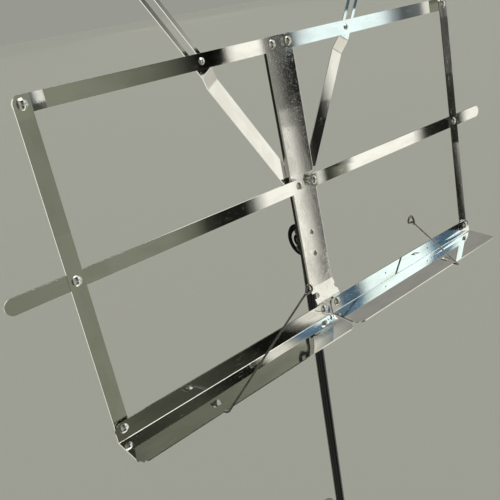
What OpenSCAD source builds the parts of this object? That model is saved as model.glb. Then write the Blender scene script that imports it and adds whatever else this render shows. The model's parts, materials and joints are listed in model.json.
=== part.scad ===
// Folding music stand: a sheet-steel desk on a three-part column and a tripod.
// Millimetres, +Z up. The reader stands at -Y, and the origin is on the floor
// on the column's axis. Desk shapes are drawn in the desk's own frame: x along
// the trays, z up the spine from its top pivots, -y towards the reader.

/* [Desk] */
// Reach of each arm, from its pivot on the spine to its pivot on the outer bar
arm_reach = 220; // [200:1:240]
// Distance down the spine from the top pivots to the middle pivots
middle_level = 122; // [115:1:130]
// Distance down the spine from the top pivots to the tray pivots
tray_level = 243.3; // [236:0.1:255]
// Distance of each row of pivots from the middle of the spine
pivot_offset = 9.3; // [8.9:0.1:10]
// Width of the arms and outer bars
strip_width = 12; // [11:0.1:13]
// Thickness of the desk's sheet steel
sheet = 1.1; // [1:0.05:1.2]
// Length of the middle arms beyond the outer bars
arm_overhang = 45.4; // [30:1:60]
// Distance of the sliding rivet from the upper arm's pivot
cross_reach = 73.7; // [70:0.1:78]
// Backward lean of the desk at rest
desk_tilt = 3; // [0:0.5:10]

/* [Trays] */
// Gap between each tray and the middle of the desk
tray_gap = 1.5; // [1:0.1:3]
// Length of each tray
tray_length = 235; // [225:1:255]
// Height of each tray's upright flange
flange_height = 14.5; // [14:0.1:16]
// Depth of each tray's shelf
shelf_depth = 31.9; // [28:0.1:36]
// Downward slope of the shelf from square to the flange
shelf_slope = 8; // [4:0.5:12]
// Distance of each page clip from the middle of the desk
clip_offset = 158.5; // [140:0.5:175]
// Diameter of the page clips' wire
wire_diameter = 1.8; // [1.6:0.1:2]
// Length of each page clip from its bend to the eye
clip_length = 119; // [100:1:130]
// Angle of the left page clip above the shelf at rest
left_clip_angle = 34.9; // [5:0.1:70]
// Angle of the right page clip above the shelf at rest
right_clip_angle = 43.9; // [5:0.1:70]

/* [Column] */
// Height of the tilt pivot above the floor
pivot_height = 1175; // [1150:5:1190]
// Outside diameter of the lower tube
lower_diameter = 16; // [15.8:0.1:16.2]
// Outside diameter of the middle tube
middle_diameter = 13; // [12.8:0.1:13]
// Outside diameter of the upper tube
upper_diameter = 9.5; // [9.4:0.1:9.6]
// Length of the lower tube
lower_length = 430; // [420:5:440]
// Length of the middle tube
middle_length = 420; // [410:5:425]
// Length of the upper tube that stays inside the middle tube
upper_hold = 40; // [35:5:60]

/* [Tripod] */
// Length of each leg from the crown to the middle of its foot
leg_length = 300; // [280:5:320]
// Length of each strut, equal to the distance from crown to strut along the leg
strut_length = 120; // [112:1:126]
// Angle of each open leg from upright
leg_spread = 60; // [56:1:62]
// Radius of the rubber feet
foot_radius = 9; // [8.6:0.1:10]

/* [Hidden] */
$fn = 48;
play = 0.15;
pin_clearance = 0.06;
seat_clearance = 0.02;
rivet_radius = 2;
dome_radius = 4;
dome_height = 1.9;
tail_radius = 3;
tail_height = 1.1;

// Distances of the desk's layers in front of the spine's front face.
arm_back = play;
arm_front = arm_back + sheet;
middle_back = arm_front + play + dome_height + play;
middle_front = middle_back + sheet;
bar_back = middle_front + play;
bar_front = bar_back + sheet;
tray_back = middle_front + play + dome_height + play;
tray_front = tray_back + sheet;
spine_foot_back = tray_back - play - sheet;

spine_half = 15.35;
spine_top = 6.5;
spine_flange = 4.2;
flange_top = -2;
ramp_top = 21.5;
ramp_bottom = 8;
notch_rise = 14.3;
notch_half = 2.4;
left_notch = 7.2;
right_notch = 2.2;
notch_cut = 20;
spine_end = tray_level + 6.2;

flange_rise = 5.8;
tray_bend = -tray_level + flange_rise - flange_height;
clip_drop = sheet + play + wire_diameter / 2;
clip_depth = 19.8;
opening_width = 8;
opening_depth = 7;
bend_radius = 3;
eye_radius = 2.7;
left_clip_lead = 2;
right_clip_lead = 4.6;
tail_turn = 177;
tail_length = 4;

// The slotted support arm, measured along it from its pivot.
support_width = 12.4;
support_slot = 6.2;
support_back = -spine_flange - 0.3 - sheet;
support_tip = 222;
pin_distance = sqrt(pow(cross_reach, 2) + pow(middle_level, 2));
support_angle = atan2(cross_reach, middle_level) + 0.7;
slot_start = pin_distance - 2;
slot_end = middle_level + cross_reach + 13.3;
support_ramp = middle_level - 0.6;
support_run = 11.2;
cross_radius = 1.2;

// The tilt pivot in the desk's frame, and the bracket behind the spine.
pivot_back = 14;
pivot_down = 177.5;
cheek_gap = upper_diameter / 2 + 0.35;
cheek = 1.2;
cheek_round = 16.2;
slot_radius = 8;
slot_half = 1.8;
slot_from = -94;
slot_sweep = 260;
bracket_rivet_up = 7.9;
bracket_rivet_down = -13.1;

// The column and the tripod.
leg_pivot_radius = 16.5;
crown_level = foot_radius + leg_length * cos(leg_spread);
hub_level = crown_level - 2 * strut_length * cos(leg_spread);
tube_bottom = hub_level - 14;
lower_top = tube_bottom + lower_length;
middle_top = lower_top - 50 + middle_length;
middle_bottom = lower_top - 50;
stub = 10;
upper_top = pivot_height + stub;
upper_length = upper_top - middle_top + upper_hold;
lower_bore = middle_diameter / 2 + 0.08;
middle_bore = upper_diameter / 2 + 0.08;
upper_bore = upper_diameter / 2 - 0.9;
collar_drop = 12;
collar_rise = 16;
screw_radius = 2.5;
ring_half = 9;
crown_radius = lower_diameter / 2 + 3.2;
crown_tongue = 4.5;
hub_tongue = 2.9;
leg_width = 12;
leg_height = 10;
strut_width = 9;
strut_height = 7;
channel_wall = 1.2;
leg_pin = 1.75;
leg_turns = [["front", 270], ["right", 30], ["left", 150]];

// ---- shapes that repeat ----

// Places the desk's own frame on the column.
module on_desk() {
  translate([0, 0, pivot_height])
    rotate([-desk_tilt, 0, 0])
      translate([0, -pivot_back, pivot_down])
        children();
}

// Makes the left half of the desk from a shape drawn for the right.
module left_half() {
  mirror([1, 0, 0])
    children();
}

// A sheet between two distances in front of the spine, from a face-on outline.
module layer(back, front) {
  translate([0, -back, 0])
    rotate([90, 0, 0])
      linear_extrude(front - back)
        children();
}

// A side profile drawn as (y, z), drawn out along x.
module profile(from, to) {
  translate([from, 0, 0])
    rotate([90, 0, 90])
      linear_extrude(to - from)
        children();
}

// A flat strip with round ends, from the origin along +x.
module strip(length, width) {
  translate([0, -width / 2])
    square([length, width]);
  circle(d = width);
  translate([length, 0])
    circle(d = width);
}

// The waste outside a rounded corner, for cutting from a plate.
module corner_waste(radius) {
  difference() {
    square(radius + 1);
    circle(radius);
  }
}

// A hole straight through the desk.
module drill(x, level, radius) {
  translate([x, 30, level])
    rotate([90, 0, 0])
      cylinder(h = 60, r = radius);
}

// A domed rivet head standing on z = 0.
module dome(radius, height) {
  ball = (pow(radius, 2) + pow(height, 2)) / (2 * height);
  intersection() {
    translate([0, 0, height - ball])
      sphere(r = ball);
    cylinder(h = height, r = radius);
  }
}

// A domed rivet through the desk, with a flat tail behind.
module rivet(x, level, front, back, shank = rivet_radius, head = dome_radius,
    height = dome_height, tail = tail_radius, thick = tail_height) {
  translate([x, -front, level])
    rotate([90, 0, 0])
      dome(head, height);
  translate([x, -back, level])
    rotate([90, 0, 0])
      cylinder(h = front - back, r = shank);
  translate([x, thick - back, level])
    rotate([90, 0, 0])
      cylinder(h = thick, r = tail);
}

// A plain washer between two distances in front of the spine.
module washer(x, level, back, front, radius) {
  difference() {
    translate([x, -back, level])
      rotate([90, 0, 0])
        cylinder(h = front - back, r = radius);
    drill(x, level, rivet_radius + seat_clearance);
  }
}

// A folded channel drawn up z, web on +x and open towards -x.
module channel(width, height, wall, from, to) {
  translate([0, 0, from])
    linear_extrude(to - from) {
      translate([height / 2 - wall, wall - width / 2])
        square([wall, width - 2 * wall]);
      for (side = [-1, 1]) {
        translate([-height / 2, side < 0 ? -width / 2 : width / 2 - wall])
          square([height - wall, wall]);
        intersection() {
          translate([height / 2 - wall, side * (width / 2 - wall)])
            circle(r = wall);
          translate([height / 2 - wall, side < 0 ? -width / 2 : width / 2 - wall])
            square(wall);
        }
      }
    }
}

// A pin along y through the leg frame's origin, with a round head on each end.
module leg_pin_shape(half, head) {
  rotate([90, 0, 0])
    translate([0, 0, -half])
      cylinder(h = 2 * half, r = leg_pin);
  if (head > 0)
    for (side = [-1, 1])
      translate([0, side * half, 0])
        rotate([-side * 90, 0, 0])
          dome(head, 1.3);
}

// Repeats a shape at the three legs.
module at_legs() {
  for (leg = leg_turns)
    rotate([0, 0, leg[1]])
      children();
}

// The frame of one open leg, with its length down -z and its web outwards.
module leg_frame() {
  translate([leg_pivot_radius, 0, crown_level])
    rotate([0, -leg_spread, 0])
      children();
}

// The frame of one strut, from its rivet in the leg down to the hub.
module strut_frame() {
  translate([leg_pivot_radius + strut_length * sin(leg_spread), 0,
      crown_level - strut_length * cos(leg_spread)])
    rotate([0, leg_spread, 0])
      children();
}

// A thumb screw pointing back from its collar, tip at tip_distance.
module thumb_screw(tip_distance, level) {
  translate([0, tip_distance, level])
    rotate([-90, 0, 0]) {
      cylinder(h = 11, r = screw_radius);
      translate([0, 0, 9.5])
        cylinder(h = 4, r1 = 4.5, r2 = 3.6);
      translate([0, 1.3, 20])
        rotate([90, 0, 0])
          linear_extrude(2.6) {
            translate([-4, -8])
              square([8, 13]);
            for (side = [-1, 1])
              translate([side * 5, 0])
                circle(r = 5.6);
          }
    }
}

// A clamp collar over the top of one tube, guiding the next tube.
module collar(outer_radius, inner_radius, radius, top) {
  difference() {
    union() {
      translate([0, 0, top - collar_drop])
        cylinder(h = collar_drop + collar_rise, r = radius);
      translate([0, 0, top + collar_rise / 2])
        rotate([-90, 0, 0])
          cylinder(h = radius + 3.5, r = 5);
    }
    translate([0, 0, top - collar_drop - 1])
      cylinder(h = collar_drop + 1, r = outer_radius + seat_clearance);
    translate([0, 0, top - 1])
      cylinder(h = collar_rise + 2, r = inner_radius + pin_clearance);
    translate([0, 0, top + collar_rise / 2])
      rotate([-90, 0, 0])
        cylinder(h = radius + 10, r = screw_radius + pin_clearance);
  }
}

// ---- column ----

module lower_tube() {
  color("dimgray")
    difference() {
      translate([0, 0, tube_bottom])
        cylinder(h = lower_length, d = lower_diameter);
      translate([0, 0, tube_bottom - 1])
        cylinder(h = lower_length + 2, r = lower_bore);
    }
}

module tube_plug() {
  color("black") {
    translate([0, 0, tube_bottom - 3])
      cylinder(h = 3, d = lower_diameter);
    translate([0, 0, tube_bottom])
      cylinder(h = 15, r = lower_bore - seat_clearance);
  }
}

module lower_collar() {
  color("silver")
    collar(lower_diameter / 2, middle_diameter / 2, 11, lower_top);
}

module lower_screw() {
  color("silver")
    thumb_screw(middle_diameter / 2 + 0.3, lower_top + collar_rise / 2);
}

module middle_tube() {
  color("dimgray")
    difference() {
      translate([0, 0, middle_bottom])
        cylinder(h = middle_length, d = middle_diameter);
      translate([0, 0, middle_bottom - 1])
        cylinder(h = middle_length + 2, r = middle_bore);
    }
}

module middle_collar() {
  color("silver")
    collar(middle_diameter / 2, upper_diameter / 2, 9.5, middle_top);
}

module middle_screw() {
  color("silver")
    thumb_screw(upper_diameter / 2 + 0.3, middle_top + collar_rise / 2);
}

module upper_tube() {
  color("dimgray")
    difference() {
      translate([0, 0, upper_top - upper_length])
        cylinder(h = upper_length, d = upper_diameter);
      translate([0, 0, upper_top - upper_length - 1])
        cylinder(h = upper_length + 2, r = upper_bore);
      for (up = [slot_radius, 0, -slot_radius])
        translate([-upper_diameter, 0, pivot_height + up])
          rotate([0, 90, 0])
            cylinder(h = 2 * upper_diameter, r = 1.5 + seat_clearance);
    }
}

// A rivet across the top of the upper tube, headed on both sides.
module cross_pin(up, head, height, right_reach) {
  face = cheek_gap + cheek + play;
  translate([-face, 0, pivot_height + up])
    rotate([0, 90, 0])
      cylinder(h = face + right_reach, r = 1.5);
  translate([-face, 0, pivot_height + up])
    rotate([0, -90, 0])
      dome(head, height);
}

module guide_rivet() {
  reach = cheek_gap + cheek + play;
  color("gainsboro") {
    cross_pin(slot_radius, 3.5, 1.4, reach);
    translate([reach, 0, pivot_height + slot_radius])
      rotate([0, 90, 0])
        cylinder(h = 1, r = 3.1);
  }
}

module pivot_rivet() {
  reach = cheek_gap + cheek + play;
  color("gainsboro") {
    cross_pin(0, 2.8, 1.2, reach);
    translate([reach, 0, pivot_height])
      rotate([0, 90, 0])
        cylinder(h = 1, r = 2.6);
  }
}

module clamp_bolt() {
  color("gainsboro")
    cross_pin(-slot_radius, 4, 1.6, cheek_gap + cheek + 11);
}

module wing_nut() {
  seat = cheek_gap + cheek + 2 * play;
  color("silver")
    translate([seat, 0, pivot_height - slot_radius])
      rotate([0, 90, 0])
        difference() {
          union() {
            cylinder(h = 5.5, r1 = 4, r2 = 3.2);
            for (side = [-1, 1])
              translate([side * 4.6, 0.9, 5])
                rotate([90, 0, 0])
                  cylinder(h = 1.8, r = 3.8);
          }
          translate([0, 0, -1])
            cylinder(h = 12, r = 1.5 + pin_clearance);
        }
}

// ---- desk ----

module spine() {
  foot_front = spine_foot_back + sheet;
  color("gainsboro")
    on_desk()
      difference() {
        union() {
          layer(-sheet, 0)
            translate([-spine_half, spine_top])
              mirror([0, 1])
                square([2 * spine_half, spine_top - flange_top]);
          translate([0, spine_flange / 2, -tray_level + ramp_top])
            rotate([0, 0, -90])
              channel(2 * spine_half, spine_flange, sheet, 0,
                  tray_level - ramp_top + flange_top);
          profile(-spine_half, spine_half)
            polygon([[0, ramp_top - tray_level], [-foot_front, ramp_bottom - tray_level],
                [-foot_front, -spine_end], [sheet - foot_front, -spine_end],
                [sheet - foot_front, ramp_bottom - tray_level],
                [sheet, ramp_top - tray_level]]);
        }
        translate([spine_half - 2.5, 0, spine_top - 2.5])
          spine_corner(2.5);
        translate([2.5 - spine_half, 0, spine_top - 2.5])
          mirror([1, 0, 0])
            spine_corner(2.5);
        translate([spine_half - 6, 0, 6 - spine_end])
          mirror([0, 0, 1])
            spine_corner(6);
        translate([6 - spine_half, 0, 6 - spine_end])
          mirror([1, 0, 0])
            mirror([0, 0, 1])
              spine_corner(6);
        for (side = [-1, 1])
          for (level = [0, -middle_level, -tray_level])
            drill(side * pivot_offset, level, rivet_radius + seat_clearance);
        for (up = [bracket_rivet_up, bracket_rivet_down])
          drill(0, up - pivot_down, 1.5 + seat_clearance);
        relief_notch(-1, left_notch);
        relief_notch(1, right_notch);
      }
}

// A round-ended notch in one edge of the spine, just below its flange's end.
module relief_notch(side, reach) {
  level = notch_rise - tray_level;
  translate([side * (spine_half - reach + notch_half), notch_cut, level])
    rotate([90, 0, 0])
      cylinder(h = 2 * notch_cut, r = notch_half);
  translate([side > 0 ? spine_half - reach + notch_half : -spine_half - 1, -notch_cut,
      level - notch_half])
    cube([reach + 1 - notch_half, 2 * notch_cut, 2 * notch_half]);
}

// The waste at one rounded corner of the spine.
module spine_corner(radius) {
  translate([0, 6, 0])
    rotate([90, 0, 0])
      linear_extrude(20)
        corner_waste(radius);
}

// The side of the tilt bracket, drawn back from the pivot as (y, z).
module cheek_outline() {
  web = sheet - pivot_back;
  intersection() {
    union() {
      translate([-2.5, 0.5])
        circle(r = cheek_round);
      polygon([[web, -16.5], [-2.5, 0.5 - cheek_round], [-2.5, 0.5 + cheek_round],
          [web, 14.5]]);
    }
    translate([web, -30])
      square([60, 60]);
  }
}

module tilt_bracket() {
  web = sheet - pivot_back;
  outside = cheek_gap + cheek;
  color("whitesmoke")
    on_desk()
      translate([0, pivot_back, -pivot_down])
        difference() {
          union() {
            for (from = [-outside, cheek_gap])
              profile(from, from + cheek)
                cheek_outline();
            translate([-outside, web, -16.5])
              cube([2 * outside, cheek, 31]);
          }
          profile(-20, 20)
            arc_slot();
          translate([-20, 0, 0])
            rotate([0, 90, 0])
              cylinder(h = 40, r = 1.5 + pin_clearance);
          for (up = [bracket_rivet_up, bracket_rivet_down])
            translate([0, 0, up])
              rotate([90, 0, 0])
                cylinder(h = 40, r = 1.5 + seat_clearance);
        }
}

// The curved slot that the guide rivet and the clamp bolt run in, drawn as (y, z).
module arc_slot() {
  reach = 3 * slot_radius;
  slot_to = slot_from + slot_sweep;
  difference() {
    circle(r = slot_radius + slot_half);
    circle(r = slot_radius - slot_half);
    polygon([[0, 0], for (turn = [slot_to, (slot_to + slot_from + 360) / 2, slot_from + 360])
        [reach * cos(turn), reach * sin(turn)]]);
  }
  for (turn = [slot_from, slot_to])
    translate([slot_radius * cos(turn), slot_radius * sin(turn)])
      circle(r = slot_half - seat_clearance);
}

module bracket_rivets() {
  color("gainsboro")
    on_desk()
      for (up = [bracket_rivet_up, bracket_rivet_down])
        rivet(0, up - pivot_down, 0, -sheet - cheek, 1.5, 2.9, 1.4, 2.5, 0.9);
}

module upper_arm_rivets() {
  color("silver")
    on_desk()
      for (side = [-1, 1])
        rivet(side * pivot_offset, 0, arm_front + play, -sheet);
}

module middle_arm_rivets() {
  color("silver")
    on_desk()
      for (side = [-1, 1])
        rivet(side * pivot_offset, -middle_level, middle_front + play,
            support_back - play);
}

module tray_rivets() {
  color("silver")
    on_desk()
      for (side = [-1, 1])
        rivet(side * pivot_offset, -tray_level, tray_front + play, spine_foot_back);
}

module middle_arm_spacers() {
  color("silver")
    on_desk()
      for (side = [-1, 1])
        washer(side * pivot_offset, -middle_level, 0, middle_back - play, 4);
}

module support_spacers() {
  color("silver")
    on_desk()
      for (side = [-1, 1])
        washer(side * pivot_offset, -middle_level, support_back + sheet + play, -sheet, 4);
}

// The washer between one tray and its outer bar.
module tray_spacer() {
  washer(pivot_offset + arm_reach, -tray_level, bar_front + play, tray_back, 4);
}

module tray_spacer_left() {
  color("silver")
    on_desk()
      left_half()
        tray_spacer();
}

module tray_spacer_right() {
  color("silver")
    on_desk()
      tray_spacer();
}

// One upper arm for the right: flat, then stepped forward at its outer end.
module upper_arm() {
  outer = pivot_offset + arm_reach;
  half = strip_width / 2;
  difference() {
    intersection() {
      translate([0, 0, -half])
        linear_extrude(strip_width)
          polygon([[0, -arm_back], [outer - 17.5, -arm_back], [outer - 6.5, -middle_back],
              [outer + 9, -middle_back], [outer + 9, -middle_front],
              [outer - 6.5, -middle_front], [outer - 17.5, -arm_front], [0, -arm_front]]);
      layer(-1, 9)
        translate([pivot_offset, 0])
          strip(arm_reach, strip_width);
    }
    drill(pivot_offset, 0, rivet_radius + pin_clearance);
    drill(outer, 0, rivet_radius + pin_clearance);
    drill(pivot_offset + cross_reach, 0, cross_radius + seat_clearance);
  }
}

module upper_arm_left() {
  color("gainsboro")
    on_desk()
      left_half()
        upper_arm();
}

module upper_arm_right() {
  color("gainsboro")
    on_desk()
      upper_arm();
}

// The sliding rivet for the right, with a washer behind the slotted support.
module cross_rivet() {
  rivet(pivot_offset + cross_reach, 0, arm_front, -sheet - play, cross_radius,
      dome_radius, dome_height, 4.25, 1.1);
}

module cross_rivet_left() {
  color("silver")
    on_desk()
      left_half()
        cross_rivet();
}

module cross_rivet_right() {
  color("silver")
    on_desk()
      cross_rivet();
}

// One middle arm for the right, running past the outer bar.
module middle_arm() {
  difference() {
    layer(middle_back, middle_front)
      translate([pivot_offset, -middle_level])
        strip(arm_reach + arm_overhang, strip_width);
    drill(pivot_offset, -middle_level, rivet_radius + pin_clearance);
    drill(pivot_offset + arm_reach, -middle_level, rivet_radius + pin_clearance);
  }
}

module middle_arm_left() {
  color("gainsboro")
    on_desk()
      left_half()
        middle_arm();
}

module middle_arm_right() {
  color("gainsboro")
    on_desk()
      middle_arm();
}

// One outer bar for the right, countersunk behind at the tray.
module outer_bar() {
  outer = pivot_offset + arm_reach;
  difference() {
    layer(bar_back, bar_front)
      translate([outer, 0])
        rotate([0, 0, -90])
          strip(tray_level, strip_width);
    for (level = [0, -middle_level])
      drill(outer, level, rivet_radius + seat_clearance);
    drill(outer, -tray_level, rivet_radius + pin_clearance);
    translate([outer, -bar_back, -tray_level])
      rotate([90, 0, 0])
        cylinder(h = 0.6, r1 = 2.8 + pin_clearance, r2 = rivet_radius + pin_clearance);
  }
}

module outer_bar_left() {
  color("gray")
    on_desk()
      left_half()
        outer_bar();
}

module outer_bar_right() {
  color("gray")
    on_desk()
      outer_bar();
}

// The two rivets that hold one outer bar to its arms.
module bar_rivets() {
  for (level = [0, -middle_level])
    rivet(pivot_offset + arm_reach, level, bar_front, middle_back - play);
}

module bar_rivets_left() {
  color("silver")
    on_desk()
      left_half()
        bar_rivets();
}

module bar_rivets_right() {
  color("silver")
    on_desk()
      bar_rivets();
}

// Places the frame of the shelf's top face, with its depth along -y.
module on_shelf() {
  translate([0, -tray_front, tray_bend])
    rotate([shelf_slope, 0, 0])
      children();
}

// The folded section of a tray, drawn as (y, z) from the inside of its bend.
module tray_section() {
  square([sheet, flange_height]);
  intersection() {
    circle(r = sheet);
    polygon([[0, 0], [3, 0], [3, -3], [3 * sin(shelf_slope), -3 * cos(shelf_slope)]]);
  }
  rotate([0, 0, shelf_slope])
    translate([-shelf_depth, -sheet])
      square([shelf_depth, sheet]);
}

// The waste outside the four rounded corners of a plate that starts at x = from.
module end_waste(from, width, height, near_radius, far_radius) {
  translate([from + width - far_radius, height - far_radius])
    corner_waste(far_radius);
  translate([from + near_radius, height - near_radius])
    mirror([1, 0])
      corner_waste(near_radius);
}

// One tray for the right, a flange and a shelf folded from one sheet.
module tray(outer_radius, sight_holes) {
  hole_x = [83.2, 155.9];
  difference() {
    union() {
      translate([0, -tray_front, tray_bend])
        profile(tray_gap, tray_gap + tray_length)
          tray_section();
      on_shelf()
        for (near = [clip_depth - opening_depth / 2 - 1, clip_depth + opening_depth / 2])
          translate([clip_offset - 3, -near - 1, -clip_drop - 2.1])
            cube([6, 1, clip_drop + 1.5]);
    }
    layer(tray_back - 2, tray_front + 2)
      translate([0, tray_bend])
        end_waste(tray_gap, tray_length, flange_height, 5, 7);
    on_shelf()
      translate([0, 0, -3])
        mirror([0, 1, 0])
          linear_extrude(6)
            end_waste(tray_gap, tray_length, shelf_depth, 9, outer_radius);
    drill(pivot_offset, -tray_level, rivet_radius + pin_clearance);
    drill(pivot_offset + arm_reach, -tray_level, rivet_radius + seat_clearance);
    if (sight_holes)
      for (x = hole_x)
        drill(x, tray_bend + 8, 1);
    on_shelf() {
      translate([clip_offset - opening_width / 2, -clip_depth - opening_depth / 2, -4])
        cube([opening_width, opening_depth, 8]);
      translate([clip_offset, -clip_depth - 8, -clip_drop])
        rotate([-90, 0, 0])
          cylinder(h = 16, d = wire_diameter + 2 * pin_clearance);
    }
  }
}

module tray_left() {
  color("darkgray")
    on_desk()
      left_half()
        tray(7, false);
}

module tray_right() {
  color("darkgray")
    on_desk()
      tray(2, true);
}

// The rivet at a tray's outer end, flush at the back of the outer bar.
module tray_end_rivet() {
  x = pivot_offset + arm_reach;
  translate([x, -tray_front, -tray_level])
    rotate([90, 0, 0])
      dome(dome_radius, dome_height);
  translate([x, -bar_back, -tray_level])
    rotate([90, 0, 0]) {
      cylinder(h = tray_front - bar_back, r = rivet_radius);
      cylinder(h = 0.6, r1 = 2.8, r2 = rivet_radius);
    }
}

module tray_end_rivet_left() {
  color("silver")
    on_desk()
      left_half()
        tray_end_rivet();
}

module tray_end_rivet_right() {
  color("silver")
    on_desk()
      tray_end_rivet();
}

// One slotted support arm for the right, leaning out from the middle pivot.
module support_arm() {
  low = support_back;
  high = -sheet;
  ramp_end = support_ramp + support_run;
  half = support_width / 2;
  translate([pivot_offset, 0, -middle_level])
    rotate([0, support_angle - 90, 0])
      difference() {
        intersection() {
          translate([0, 0, -half])
            linear_extrude(support_width)
              polygon([[-half, -low], [support_ramp, -low], [ramp_end, -high],
                  [support_tip, -high], [support_tip, -high - sheet],
                  [ramp_end, -high - sheet], [support_ramp, -low - sheet],
                  [-half, -low - sheet]]);
          layer(-9, 3)
            strip(support_tip - half, support_width);
        }
        drill(0, 0, rivet_radius + pin_clearance);
        layer(-9, 3)
          translate([slot_start, 0])
            strip(slot_end - slot_start, support_slot);
      }
}

module support_arm_left() {
  color("white")
    on_desk()
      left_half()
        support_arm();
}

module support_arm_right() {
  color("white")
    on_desk()
      support_arm();
}

// One page clip for the right: a spindle under the shelf, an elbow, an arm and
// an eye, with the spindle's end turned down so that it can't slide out.
module page_clip(angle, lead) {
  plane = shelf_depth + lead;
  tail_depth = clip_depth - opening_depth / 2 - 4;
  on_shelf()
    translate([clip_offset, 0, -clip_drop])
      rotate([0, angle - 90, 0]) {
        translate([0, bend_radius - plane, 0])
          rotate([-90, 0, 0])
            cylinder(h = plane - bend_radius - tail_depth, d = wire_diameter);
        translate([0, bend_radius - plane, bend_radius])
          rotate([0, 90, 0])
            mirror([0, 1, 0])
              rotate_extrude(angle = 90)
                translate([bend_radius, 0])
                  circle(d = wire_diameter);
        translate([0, -plane, bend_radius])
          cylinder(h = clip_length - bend_radius - eye_radius, d = wire_diameter);
        translate([0, -plane, clip_length])
          rotate([90, 0, 0])
            rotate_extrude()
              translate([eye_radius, 0])
                circle(d = wire_diameter);
        translate([0, -tail_depth, 0]) {
          sphere(d = wire_diameter);
          rotate([0, tail_turn, 0])
            cylinder(h = tail_length, d = wire_diameter);
        }
      }
}

module page_clip_left() {
  color("dimgray")
    on_desk()
      left_half()
        page_clip(left_clip_angle, left_clip_lead);
}

module page_clip_right() {
  color("dimgray")
    on_desk()
      page_clip(right_clip_angle, right_clip_lead);
}

// ---- tripod ----

module crown() {
  boss = crown_level + 12;
  color("silver")
    difference() {
      union() {
        translate([0, 0, crown_level - ring_half])
          cylinder(h = 2 * ring_half + 10, r = crown_radius);
        translate([0, 0, boss])
          rotate([-90, 0, 0])
            cylinder(h = crown_radius + 3.5, r = 5);
        at_legs() {
          translate([0, -crown_tongue, crown_level - crown_tongue])
            cube([leg_pivot_radius, 2 * crown_tongue, 2 * crown_tongue]);
          translate([leg_pivot_radius, crown_tongue, crown_level])
            rotate([90, 0, 0])
              cylinder(h = 2 * crown_tongue, r = crown_tongue);
        }
      }
      translate([0, 0, crown_level - 2 * ring_half])
        cylinder(h = 60, r = lower_diameter / 2 + 0.08);
      translate([0, 0, boss])
        rotate([-90, 0, 0])
          cylinder(h = 30, r = screw_radius + pin_clearance);
      at_legs()
        translate([leg_pivot_radius, 10, crown_level])
          rotate([90, 0, 0])
            cylinder(h = 20, r = leg_pin + seat_clearance);
    }
}

module crown_rivets() {
  color("gainsboro")
    at_legs()
      leg_frame()
        leg_pin_shape(leg_width / 2 + play, 3.3);
}

module crown_screw() {
  color("silver")
    thumb_screw(lower_diameter / 2 + 0.4, crown_level + 12);
}

module hub() {
  color("silver")
    difference() {
      union() {
        translate([0, 0, hub_level - ring_half])
          cylinder(h = 2 * ring_half, r = 11);
        at_legs() {
          translate([0, -hub_tongue, hub_level - 3.4])
            cube([leg_pivot_radius, 2 * hub_tongue, 6.8]);
          translate([leg_pivot_radius, hub_tongue, hub_level])
            rotate([90, 0, 0])
              cylinder(h = 2 * hub_tongue, r = 3.4);
        }
      }
      translate([0, 0, hub_level - 2 * ring_half])
        cylinder(h = 60, r = lower_diameter / 2 + seat_clearance);
      at_legs()
        translate([leg_pivot_radius, 10, hub_level])
          rotate([90, 0, 0])
            cylinder(h = 20, r = leg_pin + seat_clearance);
    }
}

module hub_pins() {
  color("gainsboro")
    at_legs()
      translate([leg_pivot_radius, 0, hub_level])
        leg_pin_shape(hub_tongue, 0);
}

module leg() {
  end = 4 - leg_length;
  leg_frame()
    difference() {
      union() {
        channel(leg_width, leg_height, channel_wall, end, 0);
        for (side = [-1, 1])
          translate([0, side * leg_width / 2, 0])
            rotate([side * 90, 0, 0])
              cylinder(h = channel_wall, r = leg_height / 2);
      }
      translate([leg_height / 2 - channel_wall - 0.3, channel_wall - leg_width / 2, -7])
        cube([3, leg_width - 2 * channel_wall, 20]);
      translate([0, leg_width, 0])
        rotate([90, 0, 0])
          cylinder(h = 2 * leg_width, r = leg_pin + pin_clearance);
      translate([0, leg_width, -strut_length])
        rotate([90, 0, 0])
          cylinder(h = 2 * leg_width, r = leg_pin + seat_clearance);
    }
}

module leg_front() {
  color("silver")
    rotate([0, 0, leg_turns[0][1]])
      leg();
}

module leg_right() {
  color("silver")
    rotate([0, 0, leg_turns[1][1]])
      leg();
}

module leg_left() {
  color("silver")
    rotate([0, 0, leg_turns[2][1]])
      leg();
}

module leg_rivet() {
  color("gainsboro")
    leg_frame()
      translate([0, 0, -strut_length])
        leg_pin_shape(leg_width / 2, 3.3);
}

module leg_rivet_front() {
  rotate([0, 0, leg_turns[0][1]])
    leg_rivet();
}

module leg_rivet_right() {
  rotate([0, 0, leg_turns[1][1]])
    leg_rivet();
}

module leg_rivet_left() {
  rotate([0, 0, leg_turns[2][1]])
    leg_rivet();
}

module foot() {
  socket = 26;
  color("black")
    leg_frame()
      translate([0, 0, -leg_length])
        difference() {
          union() {
            sphere(r = foot_radius);
            cylinder(h = socket, r = foot_radius);
          }
          translate([-leg_height / 2, -leg_width / 2, 4])
            cube([leg_height, leg_width, socket]);
        }
}

module foot_front() {
  rotate([0, 0, leg_turns[0][1]])
    foot();
}

module foot_right() {
  rotate([0, 0, leg_turns[1][1]])
    foot();
}

module foot_left() {
  rotate([0, 0, leg_turns[2][1]])
    foot();
}

module strut() {
  half = strut_height / 2;
  color("silver")
    strut_frame()
      difference() {
        union() {
          channel(strut_width, strut_height, channel_wall, -strut_length, 0);
          for (end = [0, -strut_length])
            for (side = [-1, 1])
              translate([0, side * strut_width / 2, end])
                rotate([side * 90, 0, 0])
                  cylinder(h = channel_wall, r = half);
        }
        for (span = [[-3, 20], [-strut_length - 20, 14 - strut_length]])
          translate([half - channel_wall - 0.3, channel_wall - strut_width / 2, span[0]])
            cube([3, strut_width - 2 * channel_wall, span[1] - span[0]]);
        for (end = [0, -strut_length])
          translate([0, strut_width, end])
            rotate([90, 0, 0])
              cylinder(h = 2 * strut_width, r = leg_pin + pin_clearance);
      }
}

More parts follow.
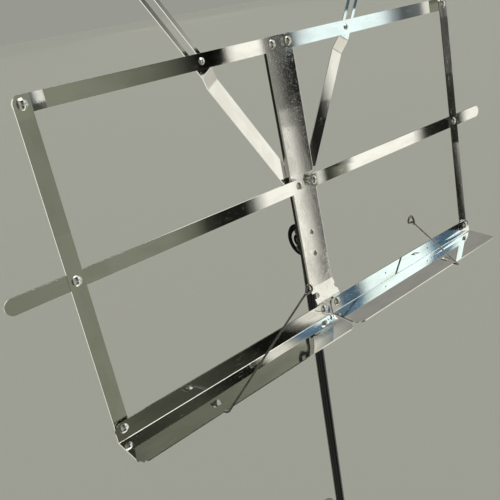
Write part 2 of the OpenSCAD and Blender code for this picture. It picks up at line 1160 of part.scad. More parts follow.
module strut_front() {
  rotate([0, 0, leg_turns[0][1]])
    strut();
}

module strut_right() {
  rotate([0, 0, leg_turns[1][1]])
    strut();
}

module strut_left() {
  rotate([0, 0, leg_turns[2][1]])
    strut();
}

lower_tube();
tube_plug();
lower_collar();
lower_screw();
middle_tube();
middle_collar();
middle_screw();
upper_tube();
guide_rivet();
pivot_rivet();
clamp_bolt();
wing_nut();
spine();
tilt_bracket();
bracket_rivets();
upper_arm_rivets();
middle_arm_rivets();
tray_rivets();
middle_arm_spacers();
support_spacers();
tray_spacer_left();
tray_spacer_right();
upper_arm_left();
upper_arm_right();
cross_rivet_left();
cross_rivet_right();
middle_arm_left();
middle_arm_right();
outer_bar_left();
outer_bar_right();
bar_rivets_left();
bar_rivets_right();
tray_left();
tray_right();
tray_end_rivet_left();
tray_end_rivet_right();
support_arm_left();
support_arm_right();
page_clip_left();
page_clip_right();
crown();
crown_rivets();
crown_screw();
hub();
hub_pins();
leg_front();
leg_right();
leg_left();
leg_rivet_front();
leg_rivet_right();
leg_rivet_left();
foot_front();
foot_right();
foot_left();
strut_front();
strut_right();
strut_left();
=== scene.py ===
import json
import math

import bmesh
import bpy
from mathutils import Matrix, Vector


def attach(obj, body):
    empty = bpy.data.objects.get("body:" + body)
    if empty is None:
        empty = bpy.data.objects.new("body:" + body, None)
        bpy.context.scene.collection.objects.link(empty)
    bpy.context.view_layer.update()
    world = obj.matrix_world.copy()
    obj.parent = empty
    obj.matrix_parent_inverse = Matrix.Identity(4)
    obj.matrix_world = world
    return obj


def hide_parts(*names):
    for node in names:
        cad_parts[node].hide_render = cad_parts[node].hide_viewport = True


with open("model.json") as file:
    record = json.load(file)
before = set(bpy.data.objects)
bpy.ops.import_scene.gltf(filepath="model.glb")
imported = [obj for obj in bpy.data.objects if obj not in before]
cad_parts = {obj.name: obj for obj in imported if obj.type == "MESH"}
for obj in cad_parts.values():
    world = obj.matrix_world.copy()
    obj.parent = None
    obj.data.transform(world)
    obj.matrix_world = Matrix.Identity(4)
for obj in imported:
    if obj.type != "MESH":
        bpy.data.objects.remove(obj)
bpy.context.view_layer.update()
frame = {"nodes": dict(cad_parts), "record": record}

# ---- Column tubes ----
# Three drawn steel tubes that slide in each other, stoved in gloss black enamel.
# The lower one stands in the tripod; the enamel is rubbed along the tubes where
# the clamp screws bear.


class Value:
    """A socket of a node tree: sums on it add Math nodes, node() adds any other node."""

    def __init__(self, tree, socket=None):
        self.tree, self.socket = tree, socket

    def node(self, kind, settings=None, inputs=None, out=0):
        """Adds a node, sets it, then gives its inputs their values or links; gives one output."""
        made = self.tree.nodes.new(kind)
        for key, value in (settings or {}).items():
            setattr(made, key, value)
        for key, value in (inputs or {}).items():
            if isinstance(value, Value):
                self.tree.links.new(value.socket, made.inputs[key])
            else:
                made.inputs[key].default_value = value
        return Value(self.tree, made.outputs[out]) if made.outputs else None

    def maths(self, operation, first, second):
        return self.node("ShaderNodeMath", {"operation": operation}, {0: first, 1: second})

    def __add__(self, other):
        return self.maths("ADD", self, other)

    def __radd__(self, other):
        return self.maths("ADD", other, self)

    def __sub__(self, other):
        return self.maths("SUBTRACT", self, other)

    def __rsub__(self, other):
        return self.maths("SUBTRACT", other, self)

    def __mul__(self, other):
        return self.maths("MULTIPLY", self, other)

    def __rmul__(self, other):
        return self.maths("MULTIPLY", other, self)

    def __abs__(self):
        return self.maths("ABSOLUTE", self, 0)

    def fade(self, low, high):
        """0 below low, 1 above high and smooth between them; low above high turns it round."""
        return self.node("ShaderNodeMapRange", {"interpolation_type": "SMOOTHSTEP"},
                         {"Value": self, "From Min": low, "From Max": high})

    def stretched(self, size, seed=0):
        """Noise whose patches are `size` metres long in X, Y and Z."""
        place = self.node("ShaderNodeVectorMath", {"operation": "MULTIPLY_ADD"},
                          {0: self, 1: [1 / length for length in size], 2: [seed, seed / 3, -seed]})
        return place.node("ShaderNodeTexNoise", None, {"Vector": place, "Scale": 1, "Detail": 3})

    def blended(self, start, end):
        """The colour that lies this far from start to end."""
        return self.node("ShaderNodeMix", {"data_type": "RGBA"},
                         {"Factor": self, 6: (*start, 1), 7: (*end, 1)}, out=2)


def finish(name, turn=(0, 0, 0)):
    """A new material and the place on the piece, turned so that X lies along the metal."""
    material = bpy.data.materials.new(name)
    material.use_nodes = True
    material.node_tree.nodes.clear()
    start = Value(material.node_tree)
    place = start.node("ShaderNodeTexCoord", out="Object")
    return material, place.node("ShaderNodeMapping", None, {"Vector": place, "Rotation": turn})


def shell(place, height, depth, **sockets):
    """Closes a material: a Principled surface with its relief, `depth` metres deep."""
    relief = place.node("ShaderNodeBump", None, {"Height": height, "Distance": depth, "Strength": 1})
    inputs = {name.replace("_", " "): value for name, value in sockets.items()}
    surface = place.node("ShaderNodeBsdfPrincipled", None, {**inputs, "Normal": relief})
    place.node("ShaderNodeOutputMaterial", None, {"Surface": surface})


def enamel(name, turn=(0, 0, 0)):
    """Gloss black enamel: orange peel, rubbed lines along X, a little dust."""
    material, place = finish(name, turn)
    peel = place.stretched((0.003, 0.003, 0.003))
    rubbed = place.stretched((0.06, 0.0006, 0.0006), 4).fade(0.62, 0.7)
    dust = place.stretched((0.0011, 0.0011, 0.0011), 9).fade(0.68, 0.74)
    haze = place.stretched((0.03, 0.03, 0.03), 2)
    worn = rubbed * 0.5 + dust * 0.5
    shell(place, peel - rubbed * 0.4, 0.00003,
          Base_Color=worn.blended((0.008, 0.008, 0.008), (0.05, 0.05, 0.047)),
          Roughness=haze * 0.16 + rubbed * 0.15 + dust * 0.2 + 0.14,
          Specular_IOR_Level=0.5)
    return material


home = {node: body for body, nodes in frame["record"]["behaviour"]["bodies"].items() for node in nodes}
slot_of = {part["node"]: part["material_slot"] for part in frame["record"]["subparts"]}

# Turns between two faces are in degrees. Past edge_turn, or wall_edge_turn on a
# round wall, they meet in an edge; between least_fold and most_fold in a fold, if
# both are larger than fold_face, in square metres.
weld, sliver = 2e-6, 1e-7
flat_turn, edge_turn = 0.4, 3
smooth_wall_turn, wall_edge_turn = 32, 40
least_fold, most_fold, fold_face = 8, 85, 3e-5


def dressed(node, material, edge=0, fold=0, change=None):
    """Stands for a CAD node: merged, changed, then its edges broken by `edge` and folds by `fold` metres."""
    made = bmesh.new()
    made.from_mesh(frame["nodes"][node].data)
    bmesh.ops.remove_doubles(made, verts=made.verts, dist=weld)
    bmesh.ops.dissolve_degenerate(made, edges=made.edges, dist=sliver)
    if change:
        change(made)
    broken = made.edges.layers.float.new("broken")
    for line in made.edges:
        turn = math.degrees(line.calc_face_angle(0)) if line.is_manifold else 180
        round_wall = all(face.smooth for face in line.link_faces)
        line.smooth = turn < (smooth_wall_turn if round_wall else flat_turn)
        line[broken] = turn > (wall_edge_turn if round_wall else edge_turn)
    for face in made.faces:
        face.smooth = True
    if edge:
        bmesh.ops.dissolve_limit(made, angle_limit=math.radians(flat_turn),
                                 verts=made.verts, edges=made.edges)
    folded = made.edges.layers.float.new("folded")
    for line in made.edges if fold else ():
        if line[broken] and least_fold < math.degrees(line.calc_face_angle(0)) < most_fold:
            if min(face.calc_area() for face in line.link_faces) > fold_face:
                line[broken], line[folded] = 0, 1
    mesh = bpy.data.meshes.new(node + "_finished")
    made.to_mesh(mesh)
    made.free()
    mesh.materials.append(material)
    piece = bpy.data.objects.new(mesh.name, mesh)
    bpy.context.scene.collection.objects.link(piece)
    for weight, width, segments in (("folded", fold, 6), ("broken", edge, 2)):
        if width:
            rounding = piece.modifiers.new(weight, "BEVEL")
            rounding.width, rounding.segments = width, segments
            rounding.limit_method, rounding.edge_weight = "WEIGHT", weight
            rounding.harden_normals = True
    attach(piece, home[node])
    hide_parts(node)


tube_edge = 0.0002
upright = (0, math.pi / 2, 0)
column_enamel = enamel("column_enamel", upright)
for tube in ("lower_tube", "middle_tube", "upper_tube"):
    dressed(tube, column_enamel, tube_edge)

# ---- Tube plug ----
# A moulded black plastic plug pushed into the lower end of the column, matt
# with a fine spark-eroded grain from its mould.

plug_plastic, plug_place = finish("plug_plastic")
mould_grain = plug_place.stretched((0.0005, 0.0005, 0.0005))
plug_rubs = plug_place.stretched((0.006, 0.006, 0.006), 5).fade(0.55, 0.75)
shell(plug_place, mould_grain, 0.00005,
      Base_Color=plug_rubs.blended((0.016, 0.016, 0.016), (0.04, 0.04, 0.038)),
      Roughness=plug_rubs * 0.2 + 0.5)
plug_edge = 0.0004
dressed("tube_plug", plug_plastic, plug_edge)

# ---- Collars, crown and hub ----
# Nickel-plated castings. The collars clamp the tubes, the crown slides on the
# lower tube and carries the legs, and the hub below holds the struts.


def casting(name):
    """Plating over a tumbled casting: soft dimples, dull hollows, small nicks."""
    material, place = finish(name)
    dimples = place.stretched((0.004, 0.004, 0.004))
    grit = place.stretched((0.0006, 0.0006, 0.0006), 3)
    dulled = place.stretched((0.012, 0.012, 0.02), 6).fade(0.4, 0.7)
    nicks = place.stretched((0.0016, 0.0016, 0.0016), 11).fade(0.7, 0.75)
    shell(place, dimples + grit * 0.12 - nicks * 0.4, 0.00008,
          Base_Color=(dulled * 0.6 + nicks * 0.4).blended((0.74, 0.735, 0.7), (0.42, 0.41, 0.38)),
          Metallic=1.0, Roughness=dulled * 0.16 + grit * 0.08 + 0.16)
    return material


plated_casting = casting("plated_casting")
cast_edge = 0.0006
for fitting in ("lower_collar", "middle_collar", "crown", "hub"):
    dressed(fitting, plated_casting, cast_edge)

# ---- Thumb screws and wing nut ----
# Plated pressed-wing screws that clamp the tubes and the crown, and the wing
# nut that clamps the desk's tilt.

screw_steel, screw_place = finish("screw_steel")
thumbed = screw_place.stretched((0.005, 0.005, 0.005), 8).fade(0.35, 0.7)
screw_lines = screw_place.stretched((0.0004, 0.01, 0.0004), 1)
shell(screw_place, screw_lines, 0.00003,
      Base_Color=thumbed.blended((0.74, 0.74, 0.71), (0.5, 0.49, 0.46)),
      Metallic=1.0, Roughness=thumbed * 0.14 + screw_lines * 0.08 + 0.1)
wing_edge = 0.0004
for screw in ("lower_screw", "middle_screw", "crown_screw", "wing_nut"):
    dressed(screw, screw_steel, wing_edge)

# ---- Tilt bracket ----
# A U of black-enamelled sheet riveted behind the spine, with a curved slot in
# each cheek. It tilts on the pivot rivet, is led by the guide rivet and clamped
# by the bolt; these three are blackened steel.

bracket_edge = 0.0002
dressed("tilt_bracket", enamel("bracket_enamel"), bracket_edge)

blackened, bolt_place = finish("blackened_steel")
oil = bolt_place.stretched((0.003, 0.003, 0.003), 3)
turned = bolt_place.stretched((0.0003, 0.0003, 0.0003), 7)
shell(bolt_place, turned, 0.00003,
      Base_Color=oil.fade(0.4, 0.7).blended((0.02, 0.02, 0.02), (0.07, 0.067, 0.06)),
      Metallic=0.7, Roughness=oil * 0.2 + 0.22)
fixing_edge = 0.0001
for fixing in ("guide_rivet", "pivot_rivet", "clamp_bolt"):
    dressed(fixing, blackened, fixing_edge)

# ---- Desk strips ----
# The spine, the arms and the outer bars are blanked from bright nickel-plated
# strip, whose rolling lines run along each piece. The plating is lightly
# scratched, hazed where it is handled and pitted in a few small specks.

desk_lean = math.radians(3)
plating_relief = 0.00012


def nickel(name, turn, haze=0.02, waves=0.03, grain=0.02, specks=0.5, seed=0):
    """Bright plating on rolled strip; `turn` lays X along the strip in the desk's plane."""
    lay = (Matrix.Rotation(turn, 3, "Y") @ Matrix.Rotation(desk_lean, 3, "X")).to_euler()
    material, place = finish(name, lay)
    rolling = place.stretched((0.05, 0.0004, 0.0004), seed)
    ripple = place.stretched((0.022, 0.009, 0.009), seed + 3)
    peel = place.stretched((0.0011, 0.0011, 0.0011), seed + 5)
    cloud = place.stretched((0.03, 0.012, 0.012), seed + 7).fade(0.42, 0.68)
    spots = place.stretched((0.0009, 0.0009, 0.0009), seed + 11).fade(0.75 - 0.06 * specks, 0.78)
    hair = abs(place.stretched((0.02, 0.0012, 0.0012), seed + 13) - 0.5).fade(0.006, 0.001)
    scratched = hair * place.stretched((0.012, 0.006, 0.006), seed + 17).fade(0.55, 0.66)
    relief = ripple * waves + peel * grain + rolling * 0.003 - scratched * 0.008 - spots * 0.03
    shell(place, relief, plating_relief,
          Base_Color=(cloud * 0.2 + spots * 0.8).blended((0.82, 0.82, 0.79), (0.5, 0.47, 0.41)),
          Metallic=1.0,
          Roughness=cloud * haze + rolling * 0.02 + spots * 0.3 + scratched * 0.25 + 0.008)
    return material


along_desk, down_desk = 0, math.pi / 2
spine_edge, strip_edge = 0.0003, 0.00015
spine_nickel = nickel("spine_nickel", down_desk, haze=0.05, waves=0.01, grain=0.05, specks=3, seed=2)
arm_nickel = nickel("arm_nickel", along_desk, seed=20)
bar_nickel = nickel("bar_nickel", down_desk, waves=0.04, seed=40)
dressed("spine", spine_nickel, spine_edge)
for side in ("left", "right"):
    dressed("upper_arm_" + side, arm_nickel, strip_edge)
    dressed("middle_arm_" + side, arm_nickel, strip_edge)
    dressed("outer_bar_" + side, bar_nickel, strip_edge)

# ---- Support arms ----
# Two slotted strips behind the desk, whose upper ends stand above it and back
# a tall sheet. Each is joggled below its upper arm, whose cross rivet runs in
# its slot.

support_slope = math.radians(33)
support_edge, joggle_fold = 0.0003, 0.0008
for side, slope in (("left", support_slope), ("right", -support_slope)):
    support_nickel = nickel("support_nickel_" + side, down_desk + slope, seed=60)
    dressed("support_arm_" + side, support_nickel, support_edge, joggle_fold)

# ---- Trays ----
# Each tray is one plated blank, folded into a flange and a shelf. A square is
# lanced from the shelf for the page clip's wire.

tray_edge, tray_fold = 0.0002, 0.0005
tray_nickel = nickel("tray_nickel", along_desk, grain=0.035, specks=1.8, seed=80)
for side in ("left", "right"):
    dressed("tray_" + side, tray_nickel, tray_edge, tray_fold)

# ---- Page clips ----
# Sprung wire clips, drawn and bent up in front of the shelf; their dark base colour is painted shade,
# standing for the dark room that the bright wire mirrors.
# The top of each is wound into an eye whose end lies across the wire.

wire_steel, wire_place = finish("wire_steel")
drawn = wire_place.stretched((0.0002, 0.0002, 0.02))
wire_spots = wire_place.stretched((0.004, 0.004, 0.004), 6).fade(0.5, 0.7)
shell(wire_place, drawn, 0.00002,
      # The dark base colour is painted shade for the dark surroundings the bright wire mirrors; the spots on
      # it are tarnish.
      Base_Color=wire_spots.blended((0.2, 0.195, 0.185), (0.1, 0.095, 0.085)),
      Metallic=1.0, Roughness=wire_spots * 0.15 + 0.1)

facing = Vector((0, -math.cos(desk_lean), math.sin(desk_lean)))


def node_group(name, *inputs):
    """A Geometry Nodes tree; gives it and the values of its inputs, by name."""
    tree = bpy.data.node_groups.new(name, "GeometryNodeTree")
    for label, kind in inputs:
        tree.interface.new_socket(label, in_out="INPUT", socket_type="NodeSocket" + kind)
    tree.interface.new_socket("Geometry", in_out="OUTPUT", socket_type="NodeSocketGeometry")
    entry = tree.nodes.new("NodeGroupInput")
    return tree, {socket.name: Value(tree, socket) for socket in entry.outputs if socket.name}


def grown(tree, points, lines, values):
    """The plain mesh that a tree makes from points and lines, with its named inputs set."""
    mesh = bpy.data.meshes.new(tree.name)
    mesh.from_pydata(points, lines, [])
    holder = bpy.data.objects.new(tree.name, mesh)
    bpy.context.scene.collection.objects.link(holder)
    modifier = holder.modifiers.new(tree.name, "NODES")
    modifier.node_group = tree
    for item in tree.interface.items_tree:
        if item.name in values:
            modifier[item.identifier] = values[item.name]
    evaluated = holder.evaluated_get(bpy.context.evaluated_depsgraph_get())
    grown_mesh = bpy.data.meshes.new_from_object(evaluated)
    holder.modifiers.clear()
    bpy.data.objects.remove(holder)
    return grown_mesh


wire_tree, wire = node_group("wire_path", ("Path", "Geometry"), ("Wire Radius", "Float"),
                             ("Step", "Float"), ("Finish", "Material"))
path = wire["Path"].node("GeometryNodeMeshToCurve", None, {"Mesh": wire["Path"]})
path = path.node("GeometryNodeCurveSplineType", {"spline_type": "CATMULL_ROM"}, {"Curve": path})
path = path.node("GeometryNodeResampleCurve", {"mode": "LENGTH"},
                 {"Curve": path, "Length": wire["Step"]})
section = path.node("GeometryNodeCurvePrimitiveCircle", None,
                    {"Resolution": 16, "Radius": wire["Wire Radius"]})
skin = path.node("GeometryNodeCurveToMesh", None,
                 {"Curve": path, "Profile Curve": section, "Fill Caps": True})
skin = skin.node("GeometryNodeRealizeInstances", None, {"Geometry": skin})
skin = skin.node("GeometryNodeSetMaterial", None, {"Geometry": skin, "Material": wire["Finish"]})
skin.node("NodeGroupOutput", None, {"Geometry": skin})

wire_radius, eye_radius, wire_step = 0.0009, 0.0026, 0.0003
tail_below_eye, stem_share = 2.2, 0.9


def wound(made):
    """Cuts the CAD's plain eye from the top of a clip and winds one with a lapped end in its place."""
    stem = max(made.edges, key=lambda line: line.calc_length())
    low, high = sorted((corner.co.copy() for corner in stem.verts), key=lambda place: place.z)
    along = (high - low).normalized()
    stems = [line for line in made.edges if line.calc_length() > stem_share * (high - low).length]
    feet = [min((corner.co for corner in line.verts), key=lambda place: place.z) for line in stems]
    foot = sum(feet, Vector()) / len(feet)
    top = max(corner.co.dot(along) for corner in made.verts)
    eye = foot + along * (top - foot.dot(along) - eye_radius - wire_radius)
    bmesh.ops.bisect_plane(made, geom=made.verts[:] + made.edges[:] + made.faces[:],
                           plane_co=eye - along * (tail_below_eye * eye_radius),
                           plane_no=along, clear_outer=True)
    across = along.cross(facing).normalized()
    # Sideways, up and out from the eye's middle, in eye radii: up the stem, round the eye and over it.
    turns = ((0, -2.6, 0), (0, -2.2, 0), (-0.08, -1.8, 0), (-0.6, -1.1, 0), (-1.2, -0.3, 0),
             (-1.3, 0.35, 0), (-0.8, 0.9, 0), (0, 1.06, 0), (0.8, 0.9, 0), (1.3, 0.35, 0.05),
             (1.2, -0.4, 0.2), (0.6, -1.15, 0.55), (0.1, -1.7, 0.72), (-0.35, -2.1, 0.7),
             (-0.6, -2.5, 0.55))
    points = [eye + (across * side + along * up + facing * out) * eye_radius for side, up, out in turns]
    steps = [(step, step + 1) for step in range(len(points) - 1)]
    made.from_mesh(grown(wire_tree, points, steps, {
        "Wire Radius": wire_radius, "Step": wire_step, "Finish": wire_steel}))


for side in ("left", "right"):
    dressed("page_clip_" + side, wire_steel, change=wound)

# ---- Rivets and spacers ----
# Plated steel rivets and the turned spacers between the layers. The desk's
# rivets have domed heads that were closed in a press, each a little out of true.

rivet_steel, rivet_place = finish("rivet_steel")
pressed = rivet_place.stretched((0.0015, 0.0015, 0.0015), 2)
grime = rivet_place.stretched((0.004, 0.004, 0.004), 9).fade(0.4, 0.65)
shell(rivet_place, pressed, 0.00004,
      Base_Color=grime.blended((0.8, 0.8, 0.77), (0.5, 0.48, 0.43)),
      Metallic=1.0, Roughness=grime * 0.12 + 0.08)

head_tree, head = node_group("rivet_heads", ("Seats", "Geometry"), ("Radius", "Float"),
                             ("Height", "Float"), ("Facing", "Vector"), ("Tilt", "Float"),
                             ("Seed", "Int"), ("Finish", "Material"))
ball = head["Seats"].node("GeometryNodeMeshUVSphere", None, {"Segments": 40, "Rings": 24, "Radius": 1})
spot = ball.node("GeometryNodeInputPosition")
parts = ball.node("ShaderNodeSeparateXYZ", None, {"Vector": spot})
spot_x, spot_y, spot_z = (Value(head_tree, parts.socket.node.outputs[axis]) for axis in "XYZ")
swell = (1 - spot_x * spot_x - spot_y * spot_y) * head["Height"]
equator = 0.001
raised = spot_z.node("ShaderNodeMath", {"operation": "GREATER_THAN"}, {0: spot_z, 1: equator})
domed = ball.node("ShaderNodeCombineXYZ", None, {
    "X": spot_x * head["Radius"], "Y": spot_y * head["Radius"], "Z": swell * raised})
dome = ball.node("GeometryNodeSetPosition", None, {"Geometry": ball, "Position": domed})
upright_turn = dome.node("FunctionNodeAlignRotationToVector", {"axis": "Z"}, {"Vector": head["Facing"]})
half_turn = 3
lean = dome.node("FunctionNodeRandomValue", {"data_type": "FLOAT_VECTOR"}, {
    0: dome.node("ShaderNodeCombineXYZ", None, {
        "X": 0 - head["Tilt"], "Y": 0 - head["Tilt"], "Z": -half_turn}),
    1: dome.node("ShaderNodeCombineXYZ", None, {"X": head["Tilt"], "Y": head["Tilt"], "Z": half_turn}),
    "Seed": head["Seed"]})
lean_turn = dome.node("FunctionNodeEulerToRotation", None, {"Euler": lean})
leaning = dome.node("FunctionNodeRotateRotation", {"rotation_space": "LOCAL"},
                    {"Rotation": upright_turn, "Rotate By": lean_turn})
heads = dome.node("GeometryNodeInstanceOnPoints", None,
                  {"Points": head["Seats"], "Instance": dome, "Rotation": leaning})
heads = heads.node("GeometryNodeRealizeInstances", None, {"Geometry": heads})
heads = heads.node("GeometryNodeSetMaterial", None, {"Geometry": heads, "Material": head["Finish"]})
heads.node("NodeGroupOutput", None, {"Geometry": heads})

rise = Vector((0, math.sin(desk_lean), math.cos(desk_lean)))
head_tilt, head_seed = 0.03, 4
rim, shank, seat_gap = 0.98, 0.75, 1e-5


def islands(made):
    """The lists of joined corners, one for each solid of a piece, in the order of its mesh."""
    met = set()
    for start in made.verts:
        if start in met:
            continue
        island, reached = [], [start]
        met.add(start)
        while reached:
            corner = reached.pop()
            island.append(corner)
            fresh = [line.other_vert(corner) for line in corner.link_edges]
            reached += [other for other in fresh if other not in met]
            met.update(fresh)
        yield island


def headed(made):
    """Takes the CAD's heads off a piece's rivets and sets pressed domes in the same seats."""
    seats, sizes, spent = [], [], []
    for island in islands(made):
        out = {corner: corner.co.dot(facing) for corner in island}
        sides = [corner.co.x for corner in island]
        levels = [corner.co.dot(rise) for corner in island]
        axis = Vector(((min(sides) + max(sides)) / 2, 0, 0)) + rise * (min(levels) + max(levels)) / 2
        radius = (max(sides) - min(sides)) / 2
        off_axis = {corner: (corner.co - axis - facing * out[corner]).length for corner in island}
        seat = max(out[corner] for corner in island if off_axis[corner] > rim * radius)
        seats.append(axis + facing * seat)
        sizes.append((radius, max(out.values()) - seat))
        spent += [corner for corner in island if out[corner] > seat - seat_gap
                  and (off_axis[corner] > shank * radius or out[corner] > seat + seat_gap)]
    bmesh.ops.delete(made, geom=spent, context="VERTS")
    radius, height = sizes[0]
    made.from_mesh(grown(head_tree, seats, [], {
        "Radius": radius, "Height": height, "Facing": facing, "Tilt": head_tilt, "Seed": head_seed,
        "Finish": rivet_steel}))


desk_rivets = {"bracket_rivets", "upper_arm_rivets", "middle_arm_rivets", "tray_rivets"} | {
    name + side for name in ("cross_rivet_", "bar_rivets_", "tray_end_rivet_") for side in ("left", "right")}
for node, slot in slot_of.items():
    if slot == "rivet_steel":
        dressed(node, rivet_steel, change=headed if node in desk_rivets else None)

# ---- Legs and struts ----
# Channels folded from sheet and enamelled black. The legs hinge on the crown
# and the struts tie them to the hub.

leg_enamel, leg_edge = enamel("leg_enamel"), 0.0003
for leg in ("front", "right", "left"):
    dressed("leg_" + leg, leg_enamel, leg_edge)
    dressed("strut_" + leg, leg_enamel, leg_edge)

# ---- Feet ----
# Moulded black rubber caps pushed over the legs' ends, matt and dusty in soft
# patches.

foot_rubber, foot_place = finish("foot_rubber")
bloom = foot_place.stretched((0.008, 0.008, 0.008), 3).fade(0.4, 0.7)
pores = foot_place.stretched((0.0006, 0.0006, 0.0006), 8)
shell(foot_place, pores, 0.00008,
      Base_Color=bloom.blended((0.014, 0.014, 0.014), (0.045, 0.043, 0.04)),
      Roughness=bloom * 0.15 + 0.62)
for leg in ("front", "right", "left"):
    dressed("foot_" + leg, foot_rubber)

# ---- Studio ----
# A plain pale floor that fills the view, an overcast surround and a soft light
# from above. Screens stand round the desk, seen by the plating alone, so that it
# has lit boxes, flags and the gaps between them to mirror.

far = 300
floor_mesh = bpy.data.meshes.new("studio_floor")
floor_mesh.from_pydata([(-far, -far, 0), (far, -far, 0), (far, far, 0), (-far, far, 0)], [],
                       [(0, 1, 2, 3)])
studio_floor = bpy.data.objects.new("studio_floor", floor_mesh)
bpy.context.scene.collection.objects.link(studio_floor)
floor_paint, floor_place = finish("floor_paint")
shell(floor_place, floor_place.stretched((0.03, 0.03, 0.03)), 0.001,
      Base_Color=(0.6, 0.6, 0.545, 1), Roughness=0.9)
floor_mesh.materials.append(floor_paint)
studio_floor.visible_glossy = False

overcast = (0.315, 0.32, 0.285, 1)
surround = bpy.data.worlds.new("surround")
surround.use_nodes = True
surround.node_tree.nodes["Background"].inputs["Color"].default_value = overcast
bpy.context.scene.world = surround

overhead = bpy.data.lights.new("overhead", "SUN")
overhead.energy, overhead.angle = 0.72, math.radians(50)
overhead_lamp = bpy.data.objects.new("overhead", overhead)
overhead_lamp.rotation_euler = (math.radians(12), math.radians(8), 0)
bpy.context.scene.collection.objects.link(overhead_lamp)

lit = bpy.data.materials.new("lit_screen")
lit.use_nodes = True
lit.node_tree.nodes.clear()
glow = Value(lit.node_tree)
shine = glow.node("ShaderNodeEmission", None, {
    "Color": glow.node("ShaderNodeAttribute", {"attribute_name": "glow"}), "Strength": 1})
glow.node("ShaderNodeOutputMaterial", None, {"Surface": shine})

desk_middle = Vector((0, -0.02, 1.23))
screen_distance, widest_column = 80, 10
olive, white, cream = Vector((0.95, 1, 0.76)), Vector((1, 0.985, 0.9)), Vector((1, 0.97, 0.86))
blue, deep = Vector((0.85, 1, 1.02)), Vector((0.38, 0.7, 1.05))


def screen(name, low, high, *stops, distance=screen_distance):
    """A lit screen between two slopes; a stop is a bearing in degrees, a tint and a strength."""
    columns = []
    for (start, tint, power), (end, next_tint, next_power) in zip(stops, stops[1:]):
        parts = math.ceil((end - start) / widest_column)
        for part in range(parts):
            colour = (tint * power).lerp(next_tint * next_power, part / parts)
            columns.append((start + (end - start) * part / parts, colour))
    last, tint, power = stops[-1]
    columns.append((last, tint * power))
    corners = []
    for column in columns:
        turn = math.radians(column[0])
        for slope in (low, high):
            outward = Vector((math.sin(turn), -math.cos(turn), math.tan(math.radians(slope))))
            corners.append(desk_middle + distance * outward)
    panels = [(2 * step, 2 * step + 2, 2 * step + 3, 2 * step + 1) for step in range(len(columns) - 1)]
    mesh = bpy.data.meshes.new(name)
    mesh.from_pydata(corners, [], panels)
    paint = mesh.color_attributes.new("glow", "FLOAT_COLOR", "POINT")
    for index, corner in enumerate(paint.data):
        corner.color = (*columns[index // 2][1], 1)
    mesh.materials.append(lit)
    board = bpy.data.objects.new(name, mesh)
    bpy.context.scene.collection.objects.link(board)
    board.visible_camera = board.visible_diffuse = board.visible_shadow = False


screen("high_screen", 27, 56,
       (-3, olive, 0.04), (26, olive, 0.04), (37, olive, 0.066), (41, olive, 0.03), (43, olive, 0.012),
       (45.8, olive, 0.006), (46.7, olive, 0.07), (48.4, white, 1), (50.6, white, 0.95),
       (52, white, 0.45), (53, deep, 0.3), (55.2, deep, 0.36), (56, blue, 1.1), (57.5, blue, 1.6),
       (61.3, blue, 1.6), (61.8, deep, 0.3), (63.2, deep, 0.4), (63.8, blue, 1.5), (72, blue, 1.5))
screen("upper_screen", 10, 27,
       (-3, olive, 0.135), (17, olive, 0.135), (22, olive, 0.09), (27, olive, 0.065),
       (31, olive, 0.026), (32, olive, 0.008), (34.8, olive, 0.008), (36, white, 0.22), (37, white, 1),
       (38.8, white, 1.08), (39.3, white, 0.45), (40.6, white, 0.7), (41.1, deep, 0.25),
       (42.7, deep, 0.2), (43.2, blue, 0.6), (43.9, blue, 1.45), (48.8, blue, 1.6), (49.6, blue, 1.2),
       (50.4, deep, 0.45), (51.1, deep, 0.22), (52.8, deep, 0.22), (53.4, blue, 1.4), (72, blue, 1.4))
screen("ramp_box", 16.6, 27, (38.5, white, 1.05), (44, white, 1.05), distance=79)
screen("rail_screen", 1.7, 10,
       (-3, olive, 0.245), (31, olive, 0.1), (33, white, 0.2), (36, white, 0.5), (41, white, 0.8),
       (45, deep, 0.2), (52, deep, 0.15), (57, white, 0.5), (66, white, 0.9))
screen("top_screen", -0.6, 1.7,
       (-3, olive, 0.245), (24, olive, 0.255), (28, olive, 0.22), (30.2, olive, 0.175),
       (32.2, olive, 0.127), (33.7, olive, 0.08), (34.6, olive, 0.032), (35.4, olive, 0.008),
       (36.6, olive, 0.002), (37.6, olive, 0.01), (38.2, white, 0.85), (38.7, white, 1.14),
       (40.8, white, 1.16), (41.3, white, 0.3), (42, white, 0.12), (43.6, blue, 0.1), (44, blue, 0.5),
       (44.6, blue, 0.95), (45.6, blue, 1.22), (50.8, blue, 1.22), (51.6, blue, 0.93),
       (52.3, blue, 0.38), (53.1, blue, 0.11), (53.9, blue, 0.16), (54.5, blue, 0.15),
       (54.85, white, 0.8), (55.3, white, 0.85), (55.7, white, 0.4), (56.3, white, 0.05),
       (57.2, white, 0.9), (66, white, 0.9))
screen("support_screen", -5.1, -0.6,
       (-3, olive, 0.245), (28, olive, 0.22), (33, olive, 0.1), (35, white, 1), (40.5, white, 1.08),
       (41.1, white, 0.12), (41.5, white, 0.3), (42.1, white, 0.11), (42.7, white, 0.035),
       (43.6, white, 0.012), (44.6, white, 0.012), (45.2, white, 0.1), (45.9, white, 0.6),
       (46.6, white, 1), (52, white, 1.1), (53, olive, 0.1), (54.8, olive, 0.06), (55.2, white, 0.15),
       (56.5, white, 0.06), (57.2, white, 0.9), (66, white, 0.9))
screen("step_screen", -6.6, -5.1,
       (-3, olive, 0.245), (28, olive, 0.22), (33, olive, 0.1), (35, white, 1.02), (40.5, white, 1.08),
       (41.1, white, 0.3), (41.5, white, 0.58), (42.1, white, 0.32), (42.7, white, 0.11),
       (43.6, white, 0.02), (44.9, white, 0.015), (45.6, white, 0.15), (46.4, white, 0.75),
       (46.9, white, 1.1), (52.2, white, 1.12), (53.2, olive, 0.05), (55.6, olive, 0.03),
       (56.5, white, 0.05), (57.1, white, 1), (66, white, 0.95))
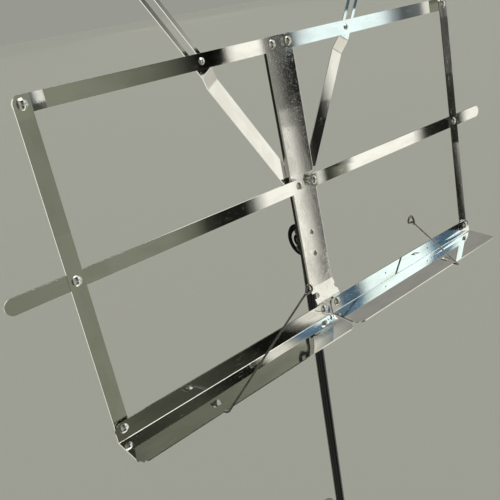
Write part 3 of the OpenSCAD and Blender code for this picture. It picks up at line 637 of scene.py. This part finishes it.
screen("middle_screen", -10.9, -6.6,
       (-3, olive, 0.245), (28, olive, 0.22), (33, olive, 0.1), (35, white, 1.05), (40.4, white, 1.08),
       (41, white, 0.4), (41.3, white, 0.95), (41.9, white, 0.75), (42.5, white, 0.28),
       (43, white, 0.07), (43.8, white, 0.015), (45.4, white, 0.02), (46.5, white, 0.4),
       (47, white, 1.16), (52.4, white, 1.16), (53.4, olive, 0.02), (55.6, olive, 0.01),
       (56.4, olive, 0.05), (57, white, 1.07), (66, white, 1))
screen("arm_screen", -18.3, -10.9,
       (-3, olive, 0.215), (15.4, olive, 0.22), (23.4, olive, 0.255), (29, olive, 0.24),
       (31.4, olive, 0.15), (32.6, olive, 0.04), (34, olive, 0.014), (36.4, olive, 0.012),
       (37.1, white, 0.15), (37.8, white, 0.6), (38.6, white, 1.1), (41, white, 1.14),
       (41.8, white, 0.82), (42.3, white, 0.42), (42.8, white, 0.13), (43.3, white, 0.12),
       (43.5, white, 0.9), (44, white, 0.5), (44.3, olive, 0.04), (44.8, olive, 0.07),
       (46.2, olive, 0.35), (46.7, white, 1.16), (52.4, white, 1.16), (53.4, olive, 0.02),
       (55.6, olive, 0.01), (57, white, 1.07), (66, white, 1))
screen("foot_screen", -21.5, -18.3,
       (-3, olive, 0.235), (22, olive, 0.235), (25, cream, 1), (40.6, cream, 1), (41.3, white, 0.9),
       (41.8, white, 0.6), (42.4, white, 0.14), (42.8, white, 0.14), (43.2, cream, 1), (52, cream, 1),
       (53, deep, 0.2), (60, deep, 0.2), (61, cream, 1), (72, cream, 1))
screen("low_screen", -30, -21.5,
       (-3, olive, 0.235), (22, olive, 0.235), (25, cream, 0.75), (36, cream, 1), (61, cream, 1),
       (63, cream, 0.6), (72, cream, 0.6))
screen("ground_screen", -56, -30, (-3, olive, 0.06), (45.5, olive, 0.03), (48, cream, 1), (72, cream, 1))
screen("overhead_box", 56, 82, (-40, white, 2.4), (150, white, 2.4))
screen("left_screen", -56, 60,
       (-88, white, 0.3), (-68, white, 0.3), (-62, white, 0.1), (-50, white, 0.06), (-42, white, 0.35),
       (-34, white, 0.6), (-27, white, 0.45), (-18, olive, 0.2), (-12, olive, 0.4), (-3, olive, 0.2))
screen("side_box", -20, 27, (72, white, 1), (88, white, 0.8))
screen("back_screen", 22, 50,
       (113, white, 0.32), (129, white, 0.31), (131, white, 0.46), (133.5, olive, 0.23),
       (140, olive, 0.19), (145, olive, 0.165), (153, olive, 0.16), (158, olive, 0.11))
screen("rear_screen", -56, 22,
       (88, white, 0.1), (96, white, 0.9), (108, white, 1.1), (114, white, 0.3), (126, olive, 0.03),
       (134, olive, 0.25), (139, white, 1), (150, white, 1.15), (154, white, 0.2), (166, olive, 0.03),
       (176, olive, 0.3), (186, white, 1.1), (200, white, 1.1), (205, white, 0.1), (214, olive, 0.02),
       (248, olive, 0.03), (252, white, 0.8), (260, white, 0.8), (264, olive, 0.1), (272, white, 0.3))

# ---- Camera ----
# Level with the top of the desk, left of it and close, looking down to the
# right, and rolled with the hand that held it.

camera = bpy.data.cameras.new("camera")
camera.lens, camera.sensor_width = 45.84, 36
camera.clip_start, camera.clip_end = 0.02, 200
viewer = bpy.data.objects.new("camera", camera)
viewer_place = Vector((-0.3797, -0.4163, 1.3918))
forward = Vector((0.562, 0.742, -0.364)).normalized()
right = forward.cross(Vector((0.355, 0.181, 0.917))).normalized()
lay = Matrix((right, right.cross(forward), -forward)).transposed()
viewer.matrix_world = Matrix.Translation(viewer_place) @ lay.to_4x4()
bpy.context.scene.collection.objects.link(viewer)
bpy.context.scene.camera = viewer
bpy.context.scene.view_settings.view_transform = "Standard"
